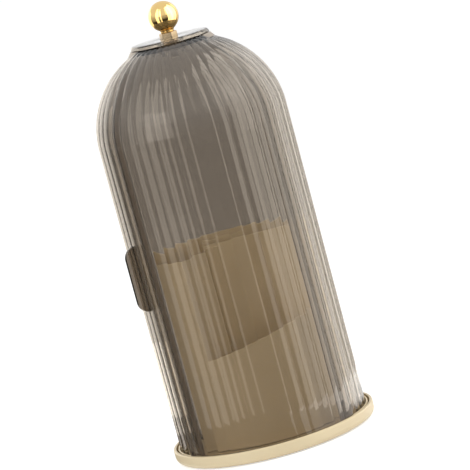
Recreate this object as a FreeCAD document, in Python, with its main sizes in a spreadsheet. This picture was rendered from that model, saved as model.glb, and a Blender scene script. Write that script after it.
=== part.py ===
import FreeCAD, Part
import math
import os
import Sketcher
from types import SimpleNamespace

# Domed makeup holder. A cream base carries a divided cup that turns on a ball bearing, under a smoked,
# ribbed cover. The front of the cover is open, and a curved door slides round the outside to close it.
# Millimetres, +Z up, origin on the table under the middle of the base. The front faces -Y.

doc = FreeCAD.newDocument("makeup_holder")

SIZES = [
    # rear shell
    ("shell_radius", 66.0, "crest of the rear shell's ribs"),
    ("shell_wall", 1.75, "wall between the inside and the valley of the ribs"),
    ("rib_height", 0.65, "height of a rib over its valleys"),
    ("rib_count", 45, "ribs in a full turn"),
    ("opening_ribs", 12, "ribs left out for the front opening"),
    ("straight_top", 224.0, "level where the dome starts"),
    ("dome_offset", 4.5, "distance of the dome arc's centre from the axis"),
    ("dome_sweep", 62.4, "degrees of arc in the dome"),
    ("neck_radius", 12.0, "hollow curve under the cap"),
    ("neck_rise", 1.5, "height of the neck over the dome"),
    ("crown_thick", 1.6, "flat top of the rear shell"),
    ("hoop_height", 3.2, "full ring at the foot of the rear shell"),
    # door
    ("door_gap", 1.2, "clearance between rear shell and door"),
    ("crown_gap", 0.6, "the same clearance at the top of the dome"),
    ("door_lift", 0.3, "foot of the door's wall over the rim"),
    ("door_wall", 1.5, "door wall under its ribs"),
    ("door_rib", 0.55, "height of a door rib"),
    ("door_ribs", 14, "ribs across the door"),
    ("ring_thick", 3.1, "ring at the top of the door"),
    ("ring_gap", 0.4, "clearance under the door's ring"),
    ("cap_gap", 0.2, "clearance over the door's ring"),
    ("tongue_wall", 0.75, "tongue at the foot of the door"),
    ("track_gap", 0.25, "side clearance of the tongue in its groove"),
    ("lift_gap", 0.1, "clearance under the glides"),
    ("glide_height", 1.8, "glides under the tongue"),
    ("glide_arc", 12.0, "degrees covered by a glide"),
    # finger tab
    ("tab_reach", 7.55, "tab beyond the door's crest"),
    ("tab_height", 45.7, "tab from end to end"),
    ("tab_thick", 2.0, "tab plate"),
    ("tab_round", 8.0, "outer corners of the tab"),
    ("tab_middle", 136.3, "level of the tab's middle"),
    # base
    ("shell_gap", 0.4, "clearance between rear shell and base rib"),
    ("seat_gap", 0.8, "clearance inside the rear shell's foot"),
    ("rim_wall", 2.05, "outer rim of the base"),
    ("base_height", 10.0, "top of the rim over the table"),
    ("rib_drop", 0.4, "base rib below the rim"),
    ("groove_depth", 5.4, "groove below the rim"),
    ("seat_depth", 4.0, "seat of the rear shell below the rim"),
    ("floor_drop", 2.0, "inside floor below the rim"),
    ("floor_thick", 3.0, "inside floor"),
    ("base_round", 4.0, "lower edge of the base"),
    ("rim_round", 0.6, "upper edge of the rim"),
    ("plate_thick", 2.0, "base plate"),
    ("plate_gap", 0.3, "clearance round the base plate"),
    ("skirt_wall", 8.7, "ring of the base outside the base plate"),
    # feet and base screws
    ("foot_count", 4, "foot pads"),
    ("foot_radius", 5.0, "foot pad"),
    ("foot_stand", 0.8, "foot pad below the base"),
    ("foot_sink", 0.8, "recess of a foot pad"),
    ("foot_gap", 0.1, "clearance round a foot pad"),
    ("foot_margin", 4.0, "foot pad inside the edge of the base plate"),
    ("screw_count", 4, "base screws"),
    ("screw_radius", 1.5, "shank of a base screw or cup screw"),
    ("screw_head", 2.9, "head of a base screw or cup screw"),
    ("screw_gap", 0.1, "clearance round a screw"),
    ("head_thick", 1.2, "countersunk head"),
    ("screw_length", 3.6, "base screw under its head"),
    ("screw_circle", 30.0, "circle of the base screws"),
    ("boss_radius", 4.0, "boss that takes a base screw"),
    # turntable bearing
    ("post_radius", 4.0, "pivot post"),
    ("post_flange", 7.0, "flange of the pivot post"),
    ("pivot_gap", 0.05, "running clearance of the turntable on its post"),
    ("race_inset", 11.0, "circle of the bearing balls inside the edge of the turntable"),
    ("race_width", 8.0, "ball race"),
    ("race_thick", 1.0, "ball race"),
    ("channel_depth", 0.6, "channel in a ball race"),
    ("channel_width", 3.4, "channel in a ball race"),
    ("ball_radius", 2.0, "bearing ball"),
    ("ball_count", 24, "bearing balls"),
    ("ball_gap", 0.05, "clearance over and under a ball"),
    ("cage_thick", 1.2, "ball cage"),
    ("cage_gap", 0.1, "clearance of a ball in the cage"),
    ("cage_width", 6.4, "ball cage"),
    # turntable, cup and dividers
    ("table_thick", 2.5, "turntable plate"),
    ("table_inset", 1.0, "turntable inside the cup's edge"),
    ("hub_radius", 9.0, "hub of the turntable"),
    ("hub_length", 2.4, "hub below the turntable plate"),
    ("washer_radius", 7.0, "pivot washer and knob washer"),
    ("washer_thick", 0.8, "pivot washer and knob washer"),
    ("pivot_play", 0.15, "play of the turntable under its washer"),
    ("pivot_screw_radius", 2.0, "shank of the pivot screw"),
    ("pivot_head", 5.0, "head of the pivot screw"),
    ("pivot_head_thick", 2.2, "head of the pivot screw"),
    ("pivot_screw_length", 6.0, "pivot screw under its head"),
    ("cup_gap", 9.6, "space between cup and rear shell"),
    ("cup_wall", 1.8, "cup wall"),
    ("cup_floor", 2.2, "cup floor"),
    ("cup_height", 126.6, "cup with its tall wall"),
    ("low_left", 56.3, "low front wall at its left end"),
    ("low_right", 72.6, "low front wall at its right end"),
    ("cup_screw_count", 3, "cup screws"),
    ("cup_screw_inset", 8.0, "circle of the cup screws inside that of the bearing balls"),
    ("cup_screw_length", 3.0, "cup screw under its head"),
    ("tube_radius", 16.3, "outside of the centre tube"),
    ("tube_wall", 1.6, "centre tube"),
    ("tube_rise", 2.0, "centre tube above the cup"),
    ("vane_wall", 1.6, "upright divider"),
    ("vane_gap", 0.2, "clearance between a divider and the cup"),
    ("vane_count", 3, "upright dividers"),
    # cap and knob
    ("bush_radius", 8.0, "bush that the door's ring turns on"),
    ("bush_gap", 0.06, "running clearance of the ring on its bush"),
    ("cap_radius", 28.2, "underside of the cap"),
    ("cap_taper", 1.9, "cap top smaller than its underside"),
    ("cap_thick", 2.8, "cap"),
    ("collar_width", 11.0, "six-sided knob collar across its flats"),
    ("collar_height", 6.5, "knob collar"),
    ("collar_turn", 54.0, "degrees from +X to a corner of the knob collar"),
    ("collar_gap", 0.1, "clearance of the collar in the cap"),
    ("ball_knob", 10.5, "knob ball"),
    ("knob_neck", 4.6, "neck under the knob ball"),
    ("knob_rise", 11.1, "middle of the knob ball over its collar"),
    ("stud_radius", 2.5, "knob stud"),
    ("stud_gap", 0.05, "clearance round the knob stud"),
    ("stud_grip", 8.0, "knob stud inside the ball"),
    ("stud_tail", 1.2, "knob stud below its nut"),
    ("nut_width", 8.0, "knob nut across its flats"),
    ("nut_thick", 4.0, "knob nut"),
    ("nut_turn", 0.0, "degrees from +X to a corner of the knob nut"),
]


class Size:
    """A length that carries its number and the sheet formula that it comes from."""

    def __init__(self, number, formula):
        self.number = number
        self.formula = formula

    def __add__(self, other):
        other = as_size(other)
        return Size(self.number + other.number, f"({self.formula} + {other.formula})")

    def __sub__(self, other):
        other = as_size(other)
        return Size(self.number - other.number, f"({self.formula} - {other.formula})")

    def __mul__(self, other):
        other = as_size(other)
        return Size(self.number * other.number, f"({self.formula} * {other.formula})")

    def __truediv__(self, other):
        other = as_size(other)
        return Size(self.number / other.number, f"({self.formula} / {other.formula})")

    def sine(self):
        return Size(math.sin(math.radians(self.number)), f"sin({self.formula} * 1 deg)")

    def cosine(self):
        return Size(math.cos(math.radians(self.number)), f"cos({self.formula} * 1 deg)")


def as_size(value):
    if isinstance(value, Size):
        return value
    return Size(float(value), str(value))


sheet = doc.addObject("Spreadsheet::Sheet", "Sizes")
for row, (alias, number, note) in enumerate(SIZES, start=1):
    sheet.set(f"A{row}", note)
    sheet.set(f"B{row}", str(number))
    sheet.setAlias(f"B{row}", alias)
doc.recompute()
dim = SimpleNamespace(**{alias: Size(float(sheet.get(alias)), f"Sizes.{alias}") for alias, _, _ in SIZES})

# Radii and levels that several pieces share
shell_valley = dim.shell_radius - dim.rib_height
shell_inside = shell_valley - dim.shell_wall
door_inside = dim.shell_radius + dim.door_gap
door_valley = door_inside + dim.door_wall
door_crest = door_valley + dim.door_rib
tongue_inside = door_valley - dim.tongue_wall
rib_inside = dim.shell_radius + dim.shell_gap
groove_inside = tongue_inside - dim.track_gap
groove_outside = door_valley + dim.track_gap
base_radius = groove_outside + dim.rim_wall
plate_radius = base_radius - dim.skirt_wall - dim.plate_gap
seat_inside = shell_inside - dim.seat_gap
cup_radius = shell_inside - dim.cup_gap
table_radius = cup_radius - dim.table_inset
race_circle = table_radius - dim.race_inset
cup_screw_circle = race_circle - dim.cup_screw_inset
foot_circle = plate_radius - dim.foot_radius - dim.foot_margin

rib_top = dim.base_height - dim.rib_drop
groove_floor = dim.base_height - dim.groove_depth
seat_floor = dim.base_height - dim.seat_depth
dish_floor = dim.base_height - dim.floor_drop
dish_under = dish_floor - dim.floor_thick
plate_top = dim.foot_stand + dim.plate_thick
lower_race_top = dish_floor + dim.race_thick
ball_level = lower_race_top - dim.channel_depth + dim.ball_gap + dim.ball_radius
upper_race_under = ball_level + dim.ball_radius + dim.ball_gap - dim.channel_depth
table_under = upper_race_under + dim.race_thick
table_top = table_under + dim.table_thick
cup_floor_top = table_top + dim.cup_floor
cup_top = table_top + dim.cup_height
dome_radius = dim.shell_radius - dim.dome_offset
dome_end = dim.straight_top + dome_radius * dim.dome_sweep.sine()
shell_top = dome_end + dim.neck_rise
ring_under = shell_top + dim.ring_gap
ring_top = ring_under + dim.ring_thick
cap_under = ring_top + dim.cap_gap
cap_top = cap_under + dim.cap_thick
collar_top = cap_under + dim.collar_height
knob_level = collar_top + dim.knob_rise
crown_under = shell_top - dim.crown_thick
knob_washer_under = crown_under - dim.washer_thick
nut_under = knob_washer_under - dim.nut_thick
zero = Size(0.0, "0")


def origin_feature(body, role):
    for feature in body.Origin.OriginFeatures:
        if feature.Role == role:
            return feature


def new_sketch(body, name, role):
    sketch = body.newObject("Sketcher::SketchObject", name)
    sketch.AttachmentSupport = [(origin_feature(body, role), "")]
    sketch.MapMode = "FlatFace"
    return sketch


def fix_point(sketch, edge, end, across, up):
    """Tie one end of an edge to its two sheet formulas."""
    for kind, size, axis in (("DistanceX", across, -2), ("DistanceY", up, -1)):
        if size.number == 0:
            sketch.addConstraint(Sketcher.Constraint("PointOnObject", edge, end, axis))
            continue
        if size.number > 0:
            index = sketch.addConstraint(Sketcher.Constraint(kind, -1, 1, edge, end, size.number))
            sketch.setExpression(f"Constraints[{index}]", size.formula)
        else:
            index = sketch.addConstraint(Sketcher.Constraint(kind, edge, end, -1, 1, -size.number))
            sketch.setExpression(f"Constraints[{index}]", f"-({size.formula})")


def draw_outline(sketch, corners):
    """Draw a closed outline. A corner's third value starts an arc: (radius, centre across, centre up)."""
    ends = []
    for corner, following in zip(corners, corners[1:] + corners[:1]):
        start = FreeCAD.Vector(corner[0].number, corner[1].number, 0)
        stop = FreeCAD.Vector(following[0].number, following[1].number, 0)
        if len(corner) == 2:
            edge = sketch.addGeometry(Part.LineSegment(start, stop), False)
            ends.append((edge, 1, 2))
            continue
        radius, across, up = corner[2]
        middle = FreeCAD.Vector(across.number, up.number, 0)
        first = math.atan2(start.y - middle.y, start.x - middle.x)
        last = math.atan2(stop.y - middle.y, stop.x - middle.x)
        turns_left = (last - first) % (2 * math.pi) < math.pi
        angles = (first, last) if turns_left else (last, first)
        circle = Part.Circle(middle, FreeCAD.Vector(0, 0, 1), radius.number)
        edge = sketch.addGeometry(Part.ArcOfCircle(circle, *angles), False)
        index = sketch.addConstraint(Sketcher.Constraint("Radius", edge, radius.number))
        sketch.setExpression(f"Constraints[{index}]", radius.formula)
        ends.append((edge, 1, 2) if turns_left else (edge, 2, 1))
    for (edge, _, leaving), (after, entering, _) in zip(ends, ends[1:] + ends[:1]):
        sketch.addConstraint(Sketcher.Constraint("Coincident", edge, leaving, after, entering))
    for (edge, entering, _), corner in zip(ends, corners):
        fix_point(sketch, edge, entering, corner[0], corner[1])


def new_body(label):
    body = doc.addObject("PartDesign::Body", label)
    body.Label = label
    return body


def turned(label, corners):
    """A body turned about the upright axis from its half section."""
    body = new_body(label)
    sketch = new_sketch(body, f"{label}_section", "XZ_Plane")
    draw_outline(sketch, corners)
    feature = body.newObject("PartDesign::Revolution", f"{label}_turned")
    feature.Profile = sketch
    feature.ReferenceAxis = (sketch, ["V_Axis"])
    feature.Angle = 360
    doc.recompute()
    return body


def repeat_round(body, feature, count):
    """Repeat a feature round the upright axis."""
    pattern = body.newObject("PartDesign::PolarPattern", f"{feature.Name}_round")
    pattern.Originals = [feature]
    pattern.Axis = (origin_feature(body, "Z_Axis"), [""])
    pattern.Angle = 360
    pattern.setExpression("Occurrences", count.formula)
    body.Tip = pattern
    doc.recompute()
    return pattern


def round_sketch(body, name, radius, circle, level):
    """A circle on a level plane, on the front side of a pitch circle."""
    sketch = new_sketch(body, name, "XY_Plane")
    sketch.setExpression("AttachmentOffset.Base.z", level.formula)
    middle = FreeCAD.Vector(circle.number, 0, 0)
    edge = sketch.addGeometry(Part.Circle(middle, FreeCAD.Vector(0, 0, 1), radius.number), False)
    index = sketch.addConstraint(Sketcher.Constraint("Radius", edge, radius.number))
    sketch.setExpression(f"Constraints[{index}]", radius.formula)
    fix_point(sketch, edge, 3, circle, zero)
    return sketch


def cut_holes(body, name, radius, circle, count, level, depth):
    """Cut a ring of round holes that go up from a level, or one hole where there is no count."""
    before = body.Shape.Volume
    feature = body.newObject("PartDesign::Pocket", name)
    feature.Profile = round_sketch(body, f"{name}_round", radius, circle, level)
    feature.Reversed = True
    feature.setExpression("Length", depth.formula)
    doc.recompute()
    if body.Shape.Volume >= before:
        raise ValueError(f"{name} cuts nothing")
    if count:
        repeat_round(body, feature, count)


def add_bosses(body, name, radius, circle, count, level, height):
    """Add a ring of round bosses that stand on a level, or one boss where there is no count."""
    feature = body.newObject("PartDesign::Pad", name)
    feature.Profile = round_sketch(body, f"{name}_round", radius, circle, level)
    feature.setExpression("Length", height.formula)
    doc.recompute()
    if count:
        repeat_round(body, feature, count)


def turned_ring(label, corners, circle, count):
    """Like pieces that stand on a pitch circle, each turned about its own upright axis."""
    pieces = []
    step = as_size(360) / count
    for number in range(round(count.number)):
        piece = turned(f"{label}_{number + 1}", corners)
        angle = f"{step.formula} * {number} * 1 deg"
        piece.setExpression("Placement.Base.x", f"{circle.formula} * cos({angle})")
        piece.setExpression("Placement.Base.y", f"{circle.formula} * sin({angle})")
        pieces.append(piece)
    group = doc.addObject("Part::Compound", label)
    group.Label = label
    group.Links = pieces
    return group


def disc(inner, outer, bottom, top):
    """Half section of a washer or a plain disc."""
    return [(inner, bottom), (outer, bottom), (outer, top), (inner, top)]


def cheese_head(bottom, length):
    """Half section of a small screw that points up, with its round head below."""
    top = bottom + dim.head_thick
    tip = top + length
    return [(zero, bottom), (dim.screw_head, bottom), (dim.screw_head, top),
            (dim.screw_radius, top), (dim.screw_radius, tip), (zero, tip)]


# Base dish: the cream ring with its rim, the door's groove, a rib and the seat of the rear shell
plate_hole = base_radius - dim.skirt_wall
post_hole = dim.post_radius + dim.pivot_gap
round_level = dim.foot_stand + dim.base_round
round_radius = base_radius - dim.base_round
lip_level = dim.base_height - dim.rim_round
lip_radius = base_radius - dim.rim_round
base_dish = turned("base_dish", [
    (plate_hole, dim.foot_stand),
    (round_radius, dim.foot_stand, (dim.base_round, round_radius, round_level)),
    (base_radius, round_level),
    (base_radius, lip_level, (dim.rim_round, lip_radius, lip_level)),
    (lip_radius, dim.base_height),
    (groove_outside, dim.base_height),
    (groove_outside, groove_floor),
    (groove_inside, groove_floor),
    (groove_inside, rib_top),
    (rib_inside, rib_top),
    (rib_inside, seat_floor),
    (seat_inside, seat_floor),
    (seat_inside, dish_floor),
    (post_hole, dish_floor),
    (post_hole, dish_under),
    (plate_hole, dish_under),
])
screw_hole = dim.screw_radius + dim.screw_gap
boss_height = dish_under - plate_top
thread_depth = dim.screw_length - dim.plate_thick + dim.head_thick + dim.screw_gap
add_bosses(base_dish, "screw_bosses", dim.boss_radius, dim.screw_circle, dim.screw_count, plate_top,
           boss_height)
cut_holes(base_dish, "screw_threads", screw_hole, dim.screw_circle, dim.screw_count, plate_top,
          thread_depth)

# Base plate: closes the base from below, with recesses for the feet and counterbored screw holes
base_plate = turned("base_plate", [
    (zero, dim.foot_stand),
    (plate_radius, dim.foot_stand),
    (plate_radius, plate_top),
    (zero, plate_top),
])
head_hole = dim.screw_head + dim.screw_gap
foot_hole = dim.foot_radius + dim.foot_gap
cut_holes(base_plate, "foot_recesses", foot_hole, foot_circle, dim.foot_count, dim.foot_stand, dim.foot_sink)
cut_holes(base_plate, "head_recesses", head_hole, dim.screw_circle, dim.screw_count, dim.foot_stand,
          dim.head_thick)
cut_holes(base_plate, "plate_holes", screw_hole, dim.screw_circle, dim.screw_count, dim.foot_stand,
          dim.plate_thick)

# Foot pads and base screws
foot_pads = turned_ring("foot_pads", [
    (zero, zero),
    (dim.foot_radius, zero),
    (dim.foot_radius, dim.foot_stand + dim.foot_sink),
    (zero, dim.foot_stand + dim.foot_sink),
], foot_circle, dim.foot_count)
base_screws = turned_ring("base_screws", cheese_head(dim.foot_stand, dim.screw_length),
                          dim.screw_circle, dim.screw_count)

# Pivot post: its flange is clamped between dish and plate, and the turntable turns on it
post_top = table_top + dim.pivot_play
thread_hole = dim.pivot_screw_radius + dim.pivot_gap
thread_floor = post_top - dim.pivot_screw_length
pivot_post = turned("pivot_post", [
    (zero, plate_top),
    (dim.post_flange, plate_top),
    (dim.post_flange, dish_under),
    (dim.post_radius, dish_under),
    (dim.post_radius, post_top),
    (thread_hole, post_top),
    (thread_hole, thread_floor),
    (zero, thread_floor),
])
washer_top = post_top + dim.washer_thick
pivot_washer = turned("pivot_washer", disc(thread_hole, dim.washer_radius, post_top, washer_top))
head_top = washer_top + dim.pivot_head_thick
screw_tip = thread_floor + dim.washer_thick
pivot_screw = turned("pivot_screw", [
    (zero, screw_tip),
    (dim.pivot_screw_radius, screw_tip),
    (dim.pivot_screw_radius, washer_top),
    (dim.pivot_head, washer_top),
    (dim.pivot_head, head_top),
    (zero, head_top),
])

# Ball bearing: two channelled steel races, the balls, and the cage that spaces them
race_inside = race_circle - dim.race_width / 2
race_outside = race_circle + dim.race_width / 2
channel_inside = race_circle - dim.channel_width / 2
channel_outside = race_circle + dim.channel_width / 2


def race(label, back, face, channel):
    """A flat ring with a channel in its face. The back lies on the piece that carries it."""
    corners = [
        (race_inside, back),
        (race_outside, back),
        (race_outside, face),
        (channel_outside, face),
        (channel_outside, channel),
        (channel_inside, channel),
        (channel_inside, face),
        (race_inside, face),
    ]
    return turned(label, corners)


lower_race = race("lower_race", dish_floor, lower_race_top, lower_race_top - dim.channel_depth)
upper_race = race("upper_race", table_under, upper_race_under, upper_race_under + dim.channel_depth)
ball_cage = turned("ball_cage", disc(race_circle - dim.cage_width / 2, race_circle + dim.cage_width / 2,
                                     ball_level - dim.cage_thick / 2, ball_level + dim.cage_thick / 2))
cut_holes(ball_cage, "ball_pockets", dim.ball_radius + dim.cage_gap, race_circle, dim.ball_count,
          ball_level - dim.cage_thick / 2, dim.cage_thick)
balls = []
for number in range(round(dim.ball_count.number)):
    ball = doc.addObject("Part::Sphere", f"bearing_ball_{number + 1}")
    ball.setExpression("Radius", dim.ball_radius.formula)
    angle = f"360 / {dim.ball_count.formula} * {number} * 1 deg"
    ball.setExpression("Placement.Base.x", f"{race_circle.formula} * cos({angle})")
    ball.setExpression("Placement.Base.y", f"{race_circle.formula} * sin({angle})")
    ball.setExpression("Placement.Base.z", ball_level.formula)
    balls.append(ball)
bearing_balls = doc.addObject("Part::Compound", "bearing_balls")
bearing_balls.Label = "bearing_balls"
bearing_balls.Links = balls
doc.recompute()

# Turntable: a plate with a hub on the post. It rides on the upper race and carries the cup
hub_under = table_under - dim.hub_length
turntable = turned("turntable", [
    (post_hole, hub_under),
    (dim.hub_radius, hub_under),
    (dim.hub_radius, table_under),
    (table_radius, table_under),
    (table_radius, table_top),
    (post_hole, table_top),
])
cut_holes(turntable, "cup_head_recesses", head_hole, cup_screw_circle, dim.cup_screw_count, table_under,
          dim.head_thick)
cut_holes(turntable, "table_holes", screw_hole, cup_screw_circle, dim.cup_screw_count, table_under,
          dim.table_thick)
cup_screws = turned_ring("cup_screws", cheese_head(table_under, dim.cup_screw_length),
                         cup_screw_circle, dim.cup_screw_count)

# Storage cup: a round cup whose wall is low and slanted between two of the dividers at the front
cup_inside = cup_radius - dim.cup_wall
cup_hole = dim.washer_radius + dim.washer_thick
storage_cup = turned("storage_cup", [
    (cup_hole, table_top),
    (cup_radius, table_top),
    (cup_radius, cup_top),
    (cup_inside, cup_top),
    (cup_inside, cup_floor_top),
    (cup_hole, cup_floor_top),
])
cup_thread = dim.cup_screw_length - dim.table_thick + dim.head_thick + dim.screw_gap
cut_holes(storage_cup, "cup_threads", screw_hole, cup_screw_circle, dim.cup_screw_count, table_top,
          cup_thread)
low_edge = cup_radius * (as_size(360) / dim.vane_count).cosine() + dim.vane_wall / 2
front_cut = new_sketch(storage_cup, "front_cut_outline", "XZ_Plane")
draw_outline(front_cut, [
    (low_edge, table_top + dim.low_left),
    (cup_radius + dim.cup_wall, table_top + dim.low_right),
    (cup_radius + dim.cup_wall, cup_top + dim.cup_wall),
    (low_edge, cup_top + dim.cup_wall),
])
full_volume = storage_cup.Shape.Volume
front_pocket = storage_cup.newObject("PartDesign::Pocket", "front_cut")
front_pocket.Profile = front_cut
front_pocket.Reversed = True
front_pocket.setExpression("Length", (cup_radius + dim.cup_wall).formula)
doc.recompute()
if storage_cup.Shape.Volume >= full_volume or storage_cup.Shape.CenterOfGravity.y < 0:
    raise ValueError("the low front of the cup is not cut")

# Divider insert: a centre tube with upright walls that reach the cup
tube_inside = dim.tube_radius - dim.tube_wall
tube_top = cup_top + dim.tube_rise
divider_insert = turned("divider_insert", disc(tube_inside, dim.tube_radius, cup_floor_top, tube_top))
vane_outline = new_sketch(divider_insert, "vane_outline", "XY_Plane")
vane_outline.setExpression("AttachmentOffset.Base.z", cup_floor_top.formula)
vane_start = dim.tube_radius - dim.tube_wall / 2
vane_end = cup_inside - dim.vane_gap
half_vane = dim.vane_wall / 2
draw_outline(vane_outline, [
    (vane_start, zero - half_vane),
    (vane_end, zero - half_vane),
    (vane_end, half_vane),
    (vane_start, half_vane),
])
vane = divider_insert.newObject("PartDesign::Pad", "vane")
vane.Profile = vane_outline
vane.setExpression("Length", (cup_top - cup_floor_top).formula)
doc.recompute()
repeat_round(divider_insert, vane, dim.vane_count)

# Bush, cap, collar, ball and stud: the stud clamps them to the crown of the rear shell
HEX_SIDES = 6
UPRIGHT = FreeCAD.Vector(0, 0, 1)
stud_hole = dim.stud_radius + dim.stud_gap
pivot_bush = turned("pivot_bush", disc(stud_hole, dim.bush_radius, shell_top, cap_under))
corner_half = as_size(180) / HEX_SIDES
collar_hole = dim.collar_width / corner_half.cosine() / 2 + dim.collar_gap
top_cap = turned("top_cap", [
    (collar_hole, cap_under),
    (dim.cap_radius, cap_under),
    (dim.cap_radius - dim.cap_taper, cap_top),
    (collar_hole, cap_top),
])


def hex_block(label, width, under, height, turn):
    """A six-sided block with a bore for the stud, measured across its flats."""
    block = doc.addObject("Part::Prism", f"{label}_block")
    block.Polygon = HEX_SIDES
    block.setExpression("Circumradius", (width / corner_half.cosine() / 2).formula)
    block.setExpression("Height", height.formula)
    block.Placement = FreeCAD.Placement(FreeCAD.Vector(), FreeCAD.Rotation(UPRIGHT, turn.number))
    block.setExpression("Placement.Base.z", under.formula)
    block.setExpression("Placement.Rotation.Angle", turn.formula)
    bore = doc.addObject("Part::Cylinder", f"{label}_bore")
    bore.setExpression("Radius", stud_hole.formula)
    bore.setExpression("Height", height.formula)
    bore.setExpression("Placement.Base.z", under.formula)
    cut = doc.addObject("Part::Cut", label)
    cut.Label = label
    cut.Base = block
    cut.Tool = bore
    return cut


knob_collar = hex_block("knob_collar", dim.collar_width, cap_under, dim.collar_height, dim.collar_turn)
ball_arc = (dim.ball_knob, zero, knob_level)
knob_ball = turned("knob_ball", [
    (zero, knob_level - dim.ball_knob, ball_arc),
    (dim.ball_knob, knob_level, ball_arc),
    (zero, knob_level + dim.ball_knob),
])
add_bosses(knob_ball, "knob_neck_boss", dim.knob_neck, zero, None, collar_top, dim.knob_rise)
cut_holes(knob_ball, "knob_bore", stud_hole, zero, None, collar_top, dim.stud_grip)
knob_washer = turned("knob_washer", disc(stud_hole, dim.washer_radius, knob_washer_under, crown_under))

stud_foot = nut_under - dim.stud_tail
stud_head = collar_top + dim.stud_grip - dim.stud_gap
knob_stud = doc.addObject("Part::Cylinder", "knob_stud")
knob_stud.Label = "knob_stud"
knob_stud.setExpression("Radius", dim.stud_radius.formula)
knob_stud.setExpression("Height", (stud_head - stud_foot).formula)
knob_stud.setExpression("Placement.Base.z", stud_foot.formula)

knob_nut = hex_block("knob_nut", dim.nut_width, nut_under, dim.nut_thick, dim.nut_turn)
doc.recompute()


# Ribbed shells: the rear shell and the door have the same kind of wall, a ring of upright convex ribs that
# runs straight up and then over a dome. They are lofted through level sections.
def around(radius, angle, level):
    """A point at an angle from the front, turning towards +X."""
    turn = math.radians(angle)
    return FreeCAD.Vector(radius * math.sin(turn), -radius * math.cos(turn), level)


def arc_between(radius, first, last, level):
    ends = [around(radius, angle, level) for angle in (first, (first + last) / 2, last)]
    return Part.Arc(*ends).toShape()


rib_pitch = 360 / dim.rib_count.number
inner_arcs = 4


def ribbed_section(level, crest, rib, inside, first, count):
    """Closed outline of a ribbed wall at one level, from its first rib's edge on."""
    valley = crest - rib
    edges = []
    for number in range(count):
        start = first + number * rib_pitch
        points = (around(valley, start, level), around(crest, start + rib_pitch / 2, level),
                  around(valley, start + rib_pitch, level))
        edges.append(Part.Arc(*points).toShape())
    last = first + count * rib_pitch
    edges.append(Part.makeLine(around(valley, last, level), around(inside, last, level)))
    step = (first - last) / inner_arcs
    for number in range(inner_arcs):
        edges.append(arc_between(inside, last + number * step, last + (number + 1) * step, level))
    edges.append(Part.makeLine(around(inside, first, level), around(valley, first, level)))
    return Part.Wire(edges)


def ring_sector(inner, outer, bottom, top, first, last):
    """A plain curved block between two angles."""
    edges = [
        arc_between(outer, first, last, bottom),
        Part.makeLine(around(outer, last, bottom), around(inner, last, bottom)),
        arc_between(inner, last, first, bottom),
        Part.makeLine(around(inner, first, bottom), around(outer, first, bottom)),
    ]
    return Part.Face(Part.Wire(edges)).extrude(FreeCAD.Vector(0, 0, top - bottom))


def washer_solid(inner, outer, bottom, top):
    foot = FreeCAD.Vector(0, 0, bottom)
    hole = Part.makeCylinder(inner, top - bottom, foot)
    return Part.makeCylinder(outer, top - bottom, foot).cut(hole)


def dome_reach(radius, level):
    """Distance from the axis of a dome arc of this radius at a level."""
    rise = level - dim.straight_top.number
    return dim.dome_offset.number + math.sqrt(radius * radius - rise * rise)


def neck_reach(level):
    """Distance from the axis of the hollow neck curve, which leaves the dome smoothly, at a level."""
    sweep = math.radians(dim.dome_sweep.number)
    span = dome_radius.number + dim.neck_radius.number
    middle_out = dim.dome_offset.number + span * math.cos(sweep)
    middle_up = dim.straight_top.number + span * math.sin(sweep)
    drop = middle_up - level
    return middle_out - math.sqrt(dim.neck_radius.number ** 2 - drop * drop)


dome_steps = 10


def dome_levels(top):
    """Levels of the dome's sections, at even steps of its arc up to a level."""
    sweep = math.asin((top - dim.straight_top.number) / dome_radius.number)
    turns = [sweep * number / dome_steps for number in range(dome_steps + 1)]
    return [dim.straight_top.number + dome_radius.number * math.sin(turn) for turn in turns]


def shell_feature(label, shape):
    feature = doc.addObject("Part::Feature", label)
    feature.Label = label
    feature.Shape = shape
    feature.Placement = FreeCAD.Placement()
    return feature


# Rear shell: a ribbed wall with a dome, a full hoop at the foot and a flat crown that ties it at the top
shell_first = dim.opening_ribs.number * rib_pitch / 2
shell_ribs = round(dim.rib_count.number - dim.opening_ribs.number)
inner_dome = dome_radius.number - dim.rib_height.number - dim.shell_wall.number


def rear_section(level, crest):
    inside = shell_inside.number
    if level > dim.straight_top.number:
        inside = dome_reach(inner_dome, min(level, dome_end.number))
    rib = dim.rib_height.number * crest / dim.shell_radius.number
    return ribbed_section(level, crest, rib, inside, shell_first, shell_ribs)


rear_sections = [rear_section(seat_floor.number, dim.shell_radius.number)]
for level in dome_levels(dome_end.number):
    rear_sections.append(rear_section(level, dome_reach(dome_radius.number, level)))
rear_sections.append(rear_section(shell_top.number, neck_reach(shell_top.number)))
rear_wall = Part.makeLoft(rear_sections, True, True)
hoop = washer_solid(shell_inside.number, shell_valley.number, seat_floor.number,
                    seat_floor.number + dim.hoop_height.number)
crown_radius = (dome_reach(inner_dome, dome_end.number) + neck_reach(shell_top.number)) / 2
crown = washer_solid(stud_hole.number, crown_radius, crown_under.number, shell_top.number)
rear_shell = shell_feature("rear_shell", rear_wall.fuse([hoop, crown]))

# Door shell: a narrower ribbed wall outside the rear shell, a ring at the top that turns on the bush, and a
# tongue at the foot that runs in the base's groove
door_first = -dim.door_ribs.number * rib_pitch / 2
door_foot = dim.base_height + dim.door_lift
tongue_foot = groove_floor + dim.lift_gap + dim.glide_height


def door_section(level):
    rise = max(0.0, level - dim.straight_top.number)
    share = rise / (ring_top.number - dim.straight_top.number)
    gap = dim.door_gap.number + (dim.crown_gap.number - dim.door_gap.number) * share
    inside = dome_reach(dome_radius.number + gap, dim.straight_top.number + rise)
    valley = dome_reach(dome_radius.number + gap + dim.door_wall.number, dim.straight_top.number + rise)
    rib = dim.door_rib.number * (valley / door_valley.number) * (1 - share)
    return ribbed_section(level, valley + rib, rib, inside, door_first, round(dim.door_ribs.number))


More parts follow.
